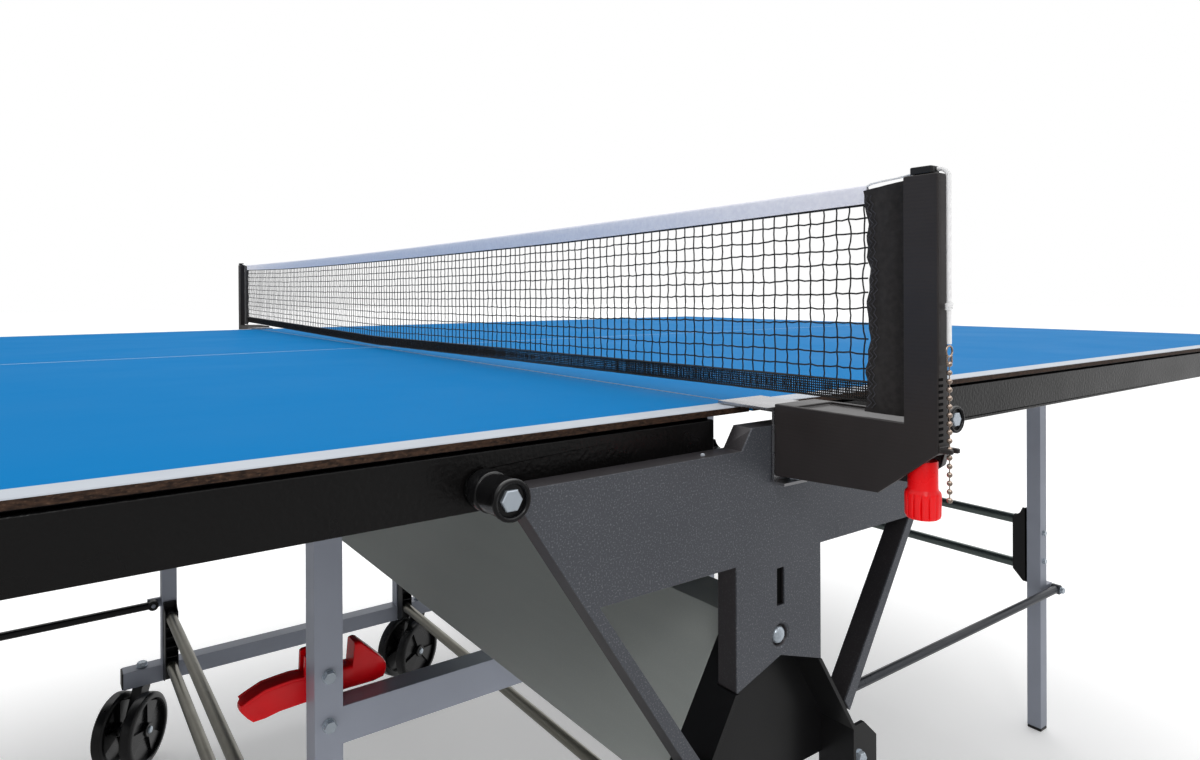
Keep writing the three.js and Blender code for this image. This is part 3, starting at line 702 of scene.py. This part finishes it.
def castor_wheels(edge, side, joint):
    """Two wheels with three ribs on each face, on one axle."""
    centre = Vector(joint["pos_m"])
    axis = Vector(joint["axis"])
    build = Build()
    for outward in (-1, 1):
        offset = outward * WHEEL_SPREAD
        place = placed(centre + axis * offset, axis)
        build.lathe(TYRE, place, "wheel", 64, closed=True)
        build.lathe(WEB, place, "wheel", 64)
        build.lathe(HUB, place, "wheel", 32)
        for middle in around(3):
            for face in (-1, 1):
                wheel_rib(build, place, middle, face)
        cap = placed(centre + axis * (offset + outward * 0.0106), axis * outward)
        build.lathe(HUB_CAP, cap, "zinc", 24)
    build.tube([centre - axis * WHEEL_SPREAD, centre + axis * WHEEL_SPREAD], 0.004, "zinc", 20)
    replaced = [f"castor_wheels_{edge}_{side}"]
    build.make(f"wheel_pair_{edge}_{side}", f"wheels_{edge}_{side}", replaced, smooth=32)


joints = {j["name"]: j for j in frame["joints"]}
for side, _ in SIDES:
    for edge, _ in EDGES:
        castor_wheels(edge, side, joints[f"wheel_spin_{edge}_{side}"])


# ---- net knobs ----
KNOB_FLUTES = 14
KNOB_GRIP = [  # radius, height, depth of the flutes
    (AXIS, 0, 0), (0.0088, 0, 0), (0.0098, 0.0008, 0.0008), (0.0103, 0.0022, 0.0014),
    (0.0105, 0.012, 0.0014), (0.0105, 0.0145, 0.0006), (0.0102, 0.0160, 0), (0.0090, 0.0172, 0),
    (0.0087, 0.0185, 0), (0.0086, 0.0345, 0), (0.0083, 0.0350, 0), (AXIS, 0.0350, 0),
]
KNOB_STUD = [(AXIS, 0), (0.004, 0), (0.004, 0.0165), (AXIS, 0.0168)]


def net_knob(edge):
    """A clamp knob with a fluted grip under a plain neck, on its stud."""
    low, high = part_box(f"net_knob_{edge}")
    centre = (low + high) / 2

    def ring(radius, height, depth):
        points = []
        for a in around(8 * KNOB_FLUTES):
            r = radius - depth * max(0.0, math.cos(a * KNOB_FLUTES)) ** 6
            points.append((centre.x + r * math.cos(a), centre.y + r * math.sin(a), low.z + height))
        return points

    build = Build()
    build.rings([ring(*station) for station in KNOB_GRIP], "red")
    place = placed((centre.x, centre.y, low.z + 0.034), (0, 0, 1))
    build.lathe(KNOB_STUD, place, "zinc", 24)
    build.make(f"knob_{edge}", f"knob_{edge}", [f"net_knob_{edge}"], smooth=50)


for edge, _ in EDGES:
    net_knob(edge)


# ---- lock levers ----
LEVER_WIDTH = 0.020
LEVER_PIVOT = (0.228, 0.510)  # |X| and Z
LEVER_STATIONS = [  # distance from the pivot, lower and upper height, share of the width
    (0.0668, -0.0235, -0.0188, 0.45), (0.0650, -0.0258, -0.0172, 0.75), (0.0610, -0.0305, -0.0152, 0.95),
    (0.0565, -0.0346, -0.0132, 1.0), (0.0466, -0.0343, -0.0092, 1.0), (0.0347, -0.0320, -0.0080, 1.0),
    (0.0226, -0.0314, -0.0072, 1.0), (0.0086, -0.0309, -0.0085, 1.0), (-0.0050, -0.0303, -0.0085, 1.0),
    (-0.0250, -0.0295, -0.0090, 1.0), (-0.0300, -0.0296, -0.0090, 1.0), (-0.0320, -0.0296, 0.0112, 1.0),
    (-0.0350, -0.0297, 0.0120, 1.0), (-0.0378, -0.0297, 0.0112, 1.0), (-0.0500, -0.0298, -0.0006, 1.0),
    (-0.0600, -0.0285, -0.0108, 0.92), (-0.0625, -0.0235, -0.0150, 0.8),
]
LEVER_UPSTAND = [
    (-0.0136, -0.010), (0.0138, -0.011), (0.0128, 0.0100), (0.0108, 0.0112), (-0.0080, 0.0120),
    (-0.0102, 0.0105),
]


def lock_lever(side, sx):
    """A moulded lever: a scooped pull, an upstand over the pivot and a slanted hook."""
    low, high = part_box(f"lock_lever_{side}")
    face = max(abs(low.y), abs(high.y))
    width = LEVER_WIDTH
    pivot_x, pivot_z = LEVER_PIVOT

    def at(x, y, z):
        return (sx * (pivot_x + x), sx * (face - y), pivot_z + z)

    rings = []
    for x, bottom, top, share in LEVER_STATIONS:
        middle, reach = width / 2, width / 2 * share
        corner = min(0.003, (top - bottom) / 3)
        right, left = middle + reach - corner, middle - reach + corner
        roof, ground = top - corner, bottom + corner
        ring = []
        for cy, cz, start in ((right, roof, 0), (left, roof, 90), (left, ground, 180), (right, ground, 270)):
            for step in range(5):
                a = math.radians(start + step * 22.5)
                ring.append(at(x, cy + corner * math.cos(a), cz + corner * math.sin(a)))
        rings.append(ring)
    build = Build()
    build.rings(rings, "lever_red")
    # Rims along the two long edges of the scooped pull.
    for y in (0.0014, width - 0.0014):
        rim = [at(x, y, top - 0.0004) for x, _, top, _ in LEVER_STATIONS[1:8]]
        build.tube(rim, 0.0014, "lever_red", 8)
    for y0, y1 in ((0.0, 0.0045), (width - 0.0045, width)):
        build.rings([[at(x, y, z) for x, z in LEVER_UPSTAND] for y in (y0, y1)], "lever_red")
    name = f"lever_{side}"
    build.make(name, name, [f"lock_lever_{side}"], bevel=0.0007, smooth=45)


for side, sx in SIDES:
    lock_lever(side, sx)


# ---- fasteners ----
# Bolts along Y in the carriage and in the legs: |X|, |Y| of the seat, Z, width over flats,
# height of the head, and whether a washer lies under it.
CARRIAGE_BOLTS = (
    (0.228, 0.4825, 0.510, 0.0100, 0.0045, True),
    (0.228, 0.4825, 0.467, 0.0100, 0.0045, True),
    (0.254, 0.4825, 0.268, 0.0090, 0.0040, True),
    (0.226, 0.7939, 0.731, 0.0115, 0.0027, False),
    (0.228, 0.4870, 0.161, 0.0080, 0.0035, True),
    (0.228, 0.4825, 0.2640, 0.0080, 0.0035, True),
    (0.111, 0.7750, 0.464, 0.0100, 0.0045, True),
)
LEG_BOLTS = (
    (1.148, 0.4575, 0.324, 0.0085, 0.0035, True),
    (1.148, 0.4575, 0.378, 0.0085, 0.0035, True),
    (1.176, 0.4765, 0.268, 0.0100, 0.0045, True),
)
DOME = [(AXIS, 0), (0.0016, 0), (0.0016, 0.0006), (0.0011, 0.0014), (AXIS, 0.0016)]


def bolts_along_y(build, sx, sy, bolts):
    for x, y, z, flats, height, washer in bolts:
        hexagon_head(build, (sx * x, sy * y, z), (0, sy, 0), flats, height, washer)


def fasteners():
    up = (0, 0, 1)
    carriage = Build()
    for _, sx in SIDES:
        for _, sy in EDGES:
            bolts_along_y(carriage, sx, sy, CARRIAGE_BOLTS)
    for _, sy in EDGES:
        hexagon_head(carriage, (0.008, sy * 0.7965, 0.7102), up, 0.0090, 0.0045, washer=False)
        carriage.lathe(DOME, placed((-0.070, sy * 0.7830, 0.734), up), "white", 20)
    carriage.make("carriage_bolts", "carriage", smooth=35)
    for side, sx in SIDES:
        legs = Build()
        for _, sy in EDGES:
            bolts_along_y(legs, sx, sy, LEG_BOLTS)
        legs.make(f"leg_bolts_{side}", f"legs_{side}", smooth=35)
        for edge, sy in EDGES:
            king = Build()
            hexagon_head(king, (sx * 0.272, sy * 0.472, 0.1585), up, 0.0150, 0.0070)
            king.make(f"king_bolt_{edge}_{side}", f"castor_{edge}_{side}", smooth=35)


def rail_plugs():
    """The plastic plugs in the ends of the carriage's lower rails."""
    build = Build()
    for _, sy in EDGES:
        for _, sx in SIDES:
            x0, x1 = sorted((sx * 0.3020, sx * 0.3055))
            y0, y1 = sorted((sy * 0.4575, sy * 0.4865))
            build.box((x0, y0, 0.1285), (x1, y1, 0.1575), "plastic")
    build.make("rail_plugs", "carriage", bevel=0.0012)


PLATE_BACK = 0.787  # |Y| behind the side plate's face sheet
SEAT_Z = 0.597
SEAT_DISH = [
    (0.0093, 0.0001), (0.0093, 0.0029), (0.0086, 0.0024), (0.0076, 0.0013), (0.0068, 0.0003),
    (0.0068, 0.0001),
]
SEAT_HEAD = [
    (AXIS, 0.0001), (0.0061, 0.0001), (0.0061, 0.0008), (0.0052, 0.0022), (0.0028, 0.0033),
    (AXIS, 0.0036),
]


def plate_seats():
    """The dished seat of the side plate's lower bolt, its domed head, and a near-black sheet of painted
    shade inside the slot.
    """
    for edge, sy in EDGES:
        place = placed((0, sy * PLATE_BACK, SEAT_Z), (0, sy, 0))
        build = Build()
        build.lathe(SEAT_DISH, place, "plate", 48, closed=True)
        build.make(f"plate_seat_{edge}", "carriage", smooth=60)
        head = Build()
        head.lathe(SEAT_HEAD, place, "zinc", 40)
        head.make(f"plate_bolt_{edge}", "carriage", smooth=60)
        # A thin near-black sheet in the slot: painted shade for the shadow inside it.
        slot = Build()
        y0, y1 = sorted((sy * (PLATE_BACK + 0.0001), sy * (PLATE_BACK + 0.0006)))
        slot.box((-0.0038, y0, 0.6193), (0.0038, y1, 0.6457), "painted_shade")
        slot.make(f"plate_slot_shade_{edge}", "carriage", bevel=0.0002)


fasteners()
rail_plugs()
plate_seats()


# ---- net: strands, bands, sleeves ----
NET_END = 0.862
NET_TOP = 0.9125
NET_SAG = 0.005
NET_BOTTOM = 0.7645
NET_BOTTOM_RISE = 0.0095
BAND = 0.0145  # height of the white band
HEM = 0.012
PITCH = 0.0105
ROWS = 11
HEM_PITCH = 0.0017
THREAD = 0.00036  # radius of the hem's threads


def net_top(y):
    return NET_TOP - NET_SAG * (1 - (y / NET_END) ** 2)


def net_bottom(y):
    return NET_BOTTOM + NET_BOTTOM_RISE * abs(y / NET_END)


def band_height(y):
    """The white band narrows a little towards the sleeves."""
    return BAND - 0.0027 * max(0.0, (abs(y) / NET_END - 0.6) / 0.4)


def net_strands():
    """The mesh: loosely placed knots, with bowed strands between them."""
    random.seed(7)
    columns = int(2 * NET_END / PITCH)
    rows = ROWS
    inset = 0.003
    ys = [-NET_END + inset + (2 * NET_END - 2 * inset) * i / columns for i in range(columns + 1)]
    grid = []
    for i, y in enumerate(ys):
        top = net_top(y) - band_height(y) + 0.001
        bottom = net_bottom(y) + HEM - 0.001
        loose = 0.0012 if i in (0, 1, columns - 1, columns) else 0.0005
        column = []
        for k in range(rows + 2):
            share = k / (rows + 1)
            free = 0 if k in (0, rows + 1) else 1
            column.append(Vector((
                random.uniform(-0.0003, 0.0003),
                y + random.uniform(-loose, loose) * free,
                bottom + (top - bottom) * share + random.uniform(-0.0005, 0.0005) * free,
            )))
        grid.append(column)
    build = Build()
    for column in grid:
        path = [column[0]]
        bow = random.uniform(-0.0006, 0.0006)
        for a, b in zip(column, column[1:]):
            middle = (a + b) / 2
            middle.y += bow + random.uniform(-0.0003, 0.0003)
            path += [middle, b]
        build.tube(path, 0.00055, "net", 5)
    for k in range(1, rows + 1):
        path = [Vector((0, -NET_END, grid[0][k].z))]
        for a, b in zip(grid, grid[1:]):
            middle = (a[k] + b[k]) / 2
            middle.z -= random.uniform(0.0002, 0.0007)
            path += [a[k], middle]
        path += [grid[-1][k], Vector((0, NET_END, grid[-1][k].z))]
        build.tube(path, 0.0006, "net", 5)
        for column in grid:
            add_knot(build, column[k], 0.0011)
    edge = [(0, y, net_top(y) - band_height(y) - 0.0004) for y in [-NET_END] + ys + [NET_END]]
    build.tube(edge, 0.0010, "net", 6)
    return build.make("net_strands", "carriage", smooth=60)


def add_knot(build, centre, size):
    directions = ((1, 0, 0), (0, 1, 0), (-1, 0, 0), (0, -1, 0), (0, 0, 1), (0, 0, -1))
    tips = [centre + Vector(d) * size for d in directions]
    faces = [(k, (k + 1) % 4, 4) for k in range(4)] + [((k + 1) % 4, k, 5) for k in range(4)]
    build.add(tips, faces, "net")


# The band's outer and inner faces on one side: distance from the net, share of the height down.
BAND_OUTER = [(-0.0013, 1.0), (-0.0014, 0.5), (-0.0014, 0.16), (-0.0009, 0.03), (0, 0)]
BAND_INNER = [(-0.0009, 1.0), (-0.0010, 0.5), (-0.0010, 0.20), (-0.0006, 0.09), (0, 0.06)]


def top_band():
    """A white tape folded over the net's top edge: two thin layers joined at the fold."""
    section = BAND_OUTER + [(-x, d) for x, d in reversed(BAND_OUTER[:-1])]
    section += [(-x, d) for x, d in BAND_INNER[:-1]] + list(reversed(BAND_INNER))
    stations = 120
    rings = []
    for i in range(stations + 1):
        y = -NET_END + 2 * NET_END * i / stations
        wave = noise.noise(Vector((y * 9, 0.7, 0))) * 0.00015
        rings.append([(x + wave * d, y, net_top(y) - d * band_height(y)) for x, d in section])
    build = Build()
    build.rings(rings, "band")
    return build.make("net_top_band", "carriage", smooth=70)


def bottom_hem():
    """The finely woven tape folded round the net's lower edge: two layers of crossing threads."""
    random.seed(11)
    build = Build()
    columns = int(2 * NET_END / HEM_PITCH)
    rows = round(HEM / HEM_PITCH)
    stations = 160
    for layer, x in enumerate((-0.0007, 0.0007)):
        for i in range(columns):
            y = -NET_END + 2 * NET_END * (i + layer / 2) / columns
            low = net_bottom(y)
            lean = random.uniform(-0.0004, 0.0004)
            path = [(x, y, low), (x * 1.3, y + lean, low + HEM / 2), (x, y, low + HEM)]
            build.tube(path, THREAD, "hem", 4)
        for k in range(rows + 1):
            path = []
            for i in range(stations + 1):
                y = -NET_END + 2 * NET_END * i / stations
                wave = noise.noise(Vector((y * 60, k * 3.1, 5))) * 0.0003
                path.append((x, y, net_bottom(y) + HEM * k / rows + wave))
            build.tube(path, 0.0007 if k in (0, rows) else THREAD, "hem", 4)
    return build.make("net_bottom_band", "carriage", smooth=60)


DRAWSTRING = (  # X, |Y| and Z
    (0, 0.8600, 0.9110), (-0.0018, 0.8655, 0.9126), (-0.0028, 0.8720, 0.9133),
    (-0.0034, 0.8800, 0.9137), (-0.0036, 0.8870, 0.9142), (-0.0038, 0.8930, 0.9149),
    (-0.0040, 0.8968, 0.9153),
)


def drawstring():
    """The white string from each end of the band over its sleeve to the post."""
    build = Build()
    for _, sy in EDGES:
        path = [Vector((x, sy * y, z)) for x, y, z in DRAWSTRING]
        build.tube(smooth_path(path, 4), 0.0007, "cord", 8)
    return build.make("net_drawstring", "carriage", smooth=60)


SLEEVE = {"inner": 0.8630, "outer": 0.8895, "low": 0.7672, "high": 0.9105, "thick": 0.0022}


def sleeve_edge(z):
    """|Y| of a sleeve's wavy inner edge, which slants inwards at its top and bottom."""
    share = (z - SLEEVE["low"]) / (SLEEVE["high"] - SLEEVE["low"])
    wave = 0.0011 * math.sin(share * 23) + 0.0006 * math.sin(share * 61)
    upper = 0.0055 * max(0.0, (share - 0.80) / 0.20) ** 1.3
    lower = 0.0030 * max(0.0, (0.25 - share) / 0.25)
    return SLEEVE["inner"] - (upper + lower) + wave


def sleeve(edge, sy):
    """Cloth pocket at the net's end, gathered by its stitching, with a wavy inner edge."""
    rows, columns = 40, 14
    outer, thick, low, high = (SLEEVE[k] for k in ("outer", "thick", "low", "high"))
    front, back = [], []
    for i in range(rows + 1):
        z = low + (high - low) * i / rows
        inner = sleeve_edge(z)
        front_line, back_line = [], []
        for j in range(columns + 1):
            share = j / columns
            y = inner + (outer - inner) * share
            rise = (share - 0.5) * 0.004 * (i / rows)
            crease = math.sin(z * 520) * 0.00025 * (1 - share)
            pucker = noise.noise(Vector((y * 160, z * 90, 3))) * 0.0007 + crease
            bulge = thick * (0.45 + 0.55 * math.sin(math.pi * min(1, share * 1.15)) ** 0.6)
            front_line.append((-bulge + pucker, sy * y, z + rise))
            back_line.append((bulge + pucker, sy * y, z + rise))
        front.append(front_line)
        back.append(back_line)
    rings = [a + list(reversed(b)) for a, b in zip(front, back)]
    build = Build()
    build.rings(rings, "cloth")
    piece = build.make(f"net_sleeve_{edge}", "carriage", smooth=70)
    stitch = Build()
    steps = 46
    for offset, size in ((0.0016, 0.0028), (0.0050, 0.0022)):
        path = []
        for i in range(steps):
            z = low + 0.003 + (high - low - 0.008) * i / (steps - 1)
            y = sleeve_edge(z) + offset + (size if i % 2 else 0)
            path.append((-thick * 1.02 - 0.0004, sy * y, z))
        stitch.tube(path, 0.00035, "thread", 5)
        stitch.tube([(-x, y, z) for x, y, z in path], 0.00035, "thread", 5)
    threads = stitch.make(f"sleeve_stitching_{edge}", "carriage", smooth=60)
    return piece, threads


def net():
    strands = net_strands()
    band, hem, string = top_band(), bottom_hem(), drawstring()
    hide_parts("net")
    for edge, sy in EDGES:
        cloth, threads = sleeve(edge, sy)


# ---- tensioning cord and bead chain ----
CORD = {
    "x": -0.004,
    "y": 0.9182,
    "radius": 0.0014,
    "bend": 0.0056,
    "start": 0.9162,
    "end": 0.8136,
    "mouth": 0.9116,
}


def net_cord():
    """The white cord from the post's mouth over a short bend and down; gives piece, path, length."""
    c = CORD
    centre_y, centre_z = c["y"] - c["bend"], c["start"] - c["bend"]
    points = [(c["mouth"], c["start"])]
    for i in range(7):
        a = i / 6 * math.pi / 2
        points.append((centre_y + c["bend"] * math.sin(a), centre_z + c["bend"] * math.cos(a)))
    for i in range(1, 9):
        points.append((c["y"], centre_z + (c["end"] - centre_z) * i / 8))
    path = [Vector((c["x"], -y, z)) for y, z in points]
    build = Build()
    build.tube(smooth_path(path, 4), c["radius"], "cord", 14)
    piece = build.make("tension_cord", "carriage", ["net_cord"], smooth=70)
    length = sum((b - a).length for a, b in zip(path, path[1:]))
    return piece, path, length


def smooth_path(path, steps):
    """Catmull-Rom points through a path."""
    out = []
    for i in range(len(path) - 1):
        p0, p1 = path[max(0, i - 1)], path[i]
        p2, p3 = path[i + 1], path[min(len(path) - 1, i + 2)]
        for k in range(steps):
            t = k / steps
            square = (2 * p0 - 5 * p1 + 4 * p2 - p3) * t * t
            cube = (3 * p1 - p0 - 3 * p2 + p3) * t ** 3
            out.append(0.5 * ((2 * p1) + (p2 - p0) * t + square + cube))
    out.append(path[-1])
    return out


RING = {"radius": 0.0032, "wire": 0.0006, "drop": 0.0042}
CHAIN = {"radius": 0.00165, "pitch": 0.00495, "bottom": 0.721, "clasp": 0.0040}


def cord_ring():
    """The split ring through the cord's end, with the small clasp that holds the chain."""
    x, y, ring_z = CORD["x"], -CORD["y"], CORD["end"] - RING["drop"]
    radius = RING["radius"]
    build = Build()
    loop = [(x + radius * math.cos(a), y, ring_z + radius * math.sin(a)) for a in around(28)]
    build.tube(loop, RING["wire"], "nickel", 8, closed=True)
    for sign in (-1, 1):
        strap = [(x + sign * 0.0023, y, ring_z - 0.0026), (x + sign * 0.0024, y, ring_z - 0.0062),
                 (x + sign * 0.0016, y, ring_z - 0.0086)]
        build.tube(strap, 0.0007, "nickel", 8)
    return build.make("cord_ring", "carriage", smooth=60)


def bead_chain():
    """The beads on their wire, hanging from the clasp; gives the piece and its path."""
    x, y, radius = CORD["x"], -CORD["y"], CHAIN["radius"]
    top = CORD["end"] - RING["drop"] - CHAIN["clasp"]
    lowest = CHAIN["bottom"] + radius
    count = int((top - 0.0030 - lowest) / CHAIN["pitch"]) + 1
    build = Build()
    build.tube([(x, y, lowest), (x, y, top)], 0.00038, "nickel", 6)
    angles = [math.pi * k / 10 for k in range(11)]
    bead = [(max(0.00003, radius * math.sin(a)), -radius * math.cos(a)) for a in angles]
    for k in range(count):
        build.lathe(bead, placed((x, y, lowest + k * CHAIN["pitch"]), (0, 0, 1)), "nickel", 16)
    piece = build.make("tension_chain", "carriage", ["bead_chain"], smooth=60)
    path = [Vector((x, y, top)), Vector((x, y, (top + lowest) / 2)), Vector((x, y, lowest))]
    return piece, path


def cord_knot():
    """The whipping where the cord's tail is bound back, above the ring."""
    x, y = CORD["x"], -CORD["y"]
    build = Build()
    turns, steps, low, height = 3, 36, 0.8335, 0.0040
    path = []
    for k in range(steps + 1):
        a = 2 * math.pi * turns * k / steps
        path.append((x + 0.0017 * math.cos(a), y + 0.0015 * math.sin(a), low + height * k / steps))
    build.tube(path, 0.0008, "cord", 8)
    return build.make("cord_knot", "carriage", smooth=60)


net()
cord, cord_path, cord_length = net_cord()
ring, knot = cord_ring(), cord_knot()
chain, chain_path = bead_chain()


# ---- post notches, as painted shade ----
def post_notch_shade():
    """Small near-black boxes of painted shade up the lower part of each post's outer edge, standing for the
    shadow in its notches.
    """
    pitch, notch, low, count = 0.0036, 0.0017, 0.7560, 11
    for edge, sy in EDGES:
        build = Build()
        y0, y1 = sorted((sy * 0.9146, sy * 0.9152))
        for k in range(count):
            z = low + k * pitch
            # Each thin box is painted shade where a notch's hollow is in shadow.
            build.box((-0.0096, y0, z), (-0.0050, y1, z + notch), "painted_shade")
        build.make(f"post_notch_shade_{edge}", "carriage", bevel=0.0002)


post_notch_shade()
